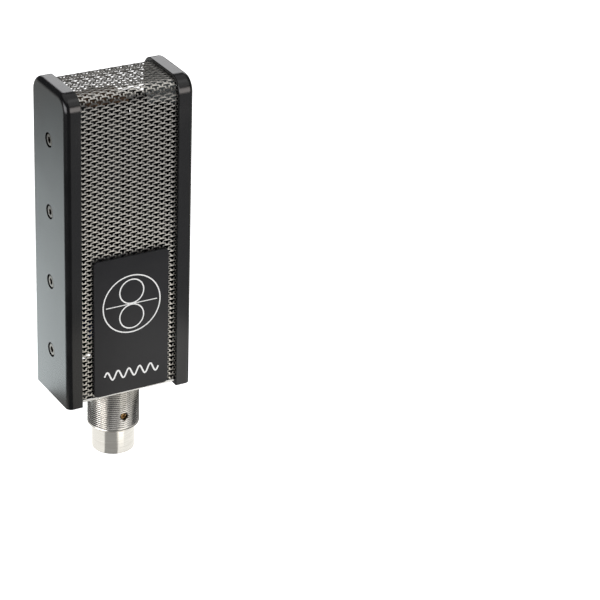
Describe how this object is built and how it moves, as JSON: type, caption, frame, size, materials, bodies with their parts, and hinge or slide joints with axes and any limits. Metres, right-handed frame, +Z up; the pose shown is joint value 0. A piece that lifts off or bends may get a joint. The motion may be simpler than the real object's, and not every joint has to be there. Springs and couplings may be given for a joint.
{
  "type": "ribbon microphone",
  "caption": "Side-address ribbon microphone: two thick side covers, a wrapped expanded-metal grille, a badge plate and a threaded barrel with a three-pin connector.",
  "frame": {"origin": "centre of the connector sleeve's bottom rim, on which the microphone stands", "axes": "+Z up along the barrel towards the top of the grille, -Y out of the front with the badge plate, +X to the right seen from the front"},
  "size_m": [0.0594, 0.034, 0.1782],
  "materials": {
    "cover_black": "satin black enamel over a thick metal cover",
    "plate_black": "satin black, with thin white printed line art",
    "bright_steel": "bright machined",
    "grille_nickel": "nickel-plated expanded metal",
    "barrel_nickel": "bright nickel over turned brass",
    "satin_aluminium": "satin machined",
    "brass": "machined",
    "insert_black": "moulded, matt",
    "motor_black": "matt black",
    "magnet_black": "black epoxy coat",
    "foil": "thin foil, dulled by annealing",
    "phenolic_brown": "pressed board, satin",
    "rubber_black": "matt",
    "core_grey": "varnished laminations",
    "coil_copper": "enamelled winding wire",
    "board_green": "lacquered board",
    "sleeve_blue": "shrink sleeve",
    "wire_red": "wire insulation",
    "wire_white": "wire insulation",
    "wire_black": "wire insulation"
  },
  "bodies": {
    "housing": {"side_cover_left": "cover_black", "side_cover_right": "cover_black", "cover_screw_left_1": "bright_steel", "cover_screw_left_2": "bright_steel", "cover_screw_left_3": "bright_steel", "cover_screw_left_4": "bright_steel", "cover_screw_right_1": "bright_steel", "cover_screw_right_2": "bright_steel", "cover_screw_right_3": "bright_steel", "cover_screw_right_4": "bright_steel", "grille": "grille_nickel", "front_plate": "plate_black", "bottom_plate": "satin_aluminium", "foot_screw_left": "bright_steel", "foot_screw_right": "bright_steel", "xlr_barrel": "barrel_nickel", "lock_screw": "brass", "barrel_nut": "brass", "xlr_insert": "insert_black", "xlr_pin_1": "bright_steel", "xlr_pin_2": "bright_steel", "xlr_pin_3": "bright_steel", "chassis_rail_left": "motor_black", "chassis_rail_right": "motor_black", "motor_frame": "motor_black", "pole_piece_left": "motor_black", "pole_piece_right": "motor_black", "magnet_left": "magnet_black", "magnet_right": "magnet_black", "isolator_left": "rubber_black", "isolator_right": "rubber_black", "ribbon_tab_bottom": "foil", "ribbon_tab_top": "foil", "clamp_block_bottom": "phenolic_brown", "clamp_block_top": "phenolic_brown", "clamp_bar_bottom": "motor_black", "clamp_bar_top": "motor_black", "clamp_screw_bottom_left": "bright_steel", "clamp_screw_bottom_right": "bright_steel", "clamp_screw_top_left": "bright_steel", "clamp_screw_top_right": "bright_steel", "terminal_board": "phenolic_brown", "terminal_screw_left": "bright_steel", "terminal_screw_right": "bright_steel", "solder_tag": "bright_steel", "transformer_core": "core_grey", "transformer_coil": "coil_copper", "transformer_strap": "bright_steel", "circuit_board": "board_green", "board_bracket_left": "motor_black", "board_bracket_right": "motor_black", "electrolytic_capacitor": "sleeve_blue", "transistor": "insert_black", "output_wire_1": "wire_black", "output_wire_2": "wire_red", "output_wire_3": "wire_white", "ribbon_wire_bottom": "wire_black", "ribbon_wire_top": "wire_black", "return_wire": "wire_black"},
    "ribbon": {"ribbon": "foil"}
  },
  "joints": [
    {"name": "ribbon_swing", "type": "slide", "parent": "housing", "child": "ribbon", "axis": [0, 1, 0], "range_m": [-0.0004, 0.0004], "stiffness_N_per_m": 6}
  ]
}
